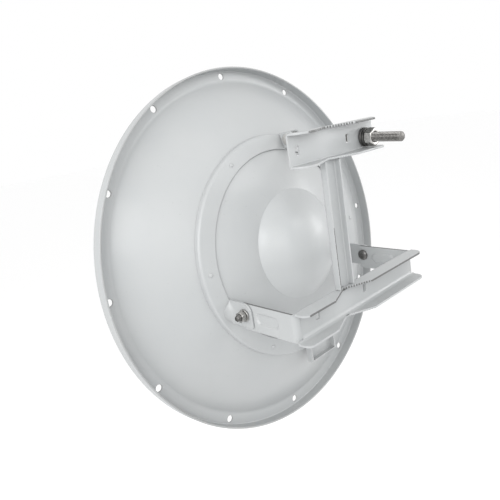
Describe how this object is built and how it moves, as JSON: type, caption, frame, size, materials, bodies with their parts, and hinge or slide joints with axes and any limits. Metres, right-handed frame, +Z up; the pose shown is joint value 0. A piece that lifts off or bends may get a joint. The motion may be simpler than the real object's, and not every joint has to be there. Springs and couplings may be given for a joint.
{
  "type": "microwave dish antenna",
  "caption": "Round dish antenna on a steel pole bracket, with an elevation pivot at the yoke's arms and a threaded rod above that sets the tilt.",
  "frame": {"origin": "middle of the rear face of the yoke's web, which the pole lies against", "axes": "+Y is the way the dish looks, away from the pole; +X is to the right as seen from behind; +Z is up"},
  "size_m": [0.416, 0.2524, 0.415],
  "materials": {
    "bracket_paint": "semi-gloss light grey powder coat",
    "dish_paint": "semi-gloss light grey powder coat",
    "cover_paint": "semi-gloss light grey powder coat",
    "bright_steel": "bare stainless steel, turned",
    "dark_steel": "darkened steel",
    "feed_metal": "satin",
    "feed_plastic": "matt white"
  },
  "bodies": {
    "mount": {"yoke": "bracket_paint", "upper_channel": "bracket_paint", "post_channel": "bracket_paint", "left_pivot_bolt": "dark_steel", "left_pivot_washer": "bright_steel", "left_pivot_nut": "bright_steel", "right_pivot_bolt": "dark_steel", "right_pivot_washer": "bright_steel", "right_pivot_nut": "bright_steel"},
    "dish": {"reflector": "dish_paint", "mounting_ring": "dish_paint", "left_lug": "dish_paint", "right_lug": "dish_paint", "top_clevis": "dish_paint", "bottom_clevis": "dish_paint", "ring_rivet_1": "dish_paint", "ring_rivet_2": "dish_paint", "ring_rivet_3": "dish_paint", "ring_rivet_4": "dish_paint", "ring_rivet_5": "dish_paint", "ring_rivet_6": "dish_paint", "rear_cover": "cover_paint", "feed_tube": "feed_metal", "feed_collar": "feed_metal", "sub_reflector": "feed_plastic", "rod_pin": "bright_steel", "rod_pin_nut": "bright_steel"},
    "rod": {"adjuster_rod": "bright_steel"},
    "nuts": {"outer_washer": "dark_steel", "spring_washer": "dark_steel", "outer_nut": "bright_steel", "inner_washer": "dark_steel", "inner_nut": "bright_steel"}
  },
  "joints": [
    {"name": "elevation", "type": "hinge", "parent": "mount", "child": "dish", "pos_m": [0.031, 0.0652, 0.0015], "axis": [1, 0, 0], "range_deg": [-5, 10]},
    {"name": "rod_swivel", "type": "hinge", "parent": "dish", "child": "rod", "pos_m": [0.061, 0.094, 0.1564], "axis": [1, 0, 0], "range_deg": [-7, 3.6]},
    {"name": "nut_travel", "type": "slide", "parent": "rod", "child": "nuts", "axis": [0, 0.9986, 0.0523], "range_m": [-0.014, 0.0275]}
  ],
  "couplings": [
    {"joint": "rod_swivel", "follows": "elevation", "ratio": -0.68},
    {"joint": "nut_travel", "follows": "elevation", "m_per_rad": 0.1537}
  ]
}
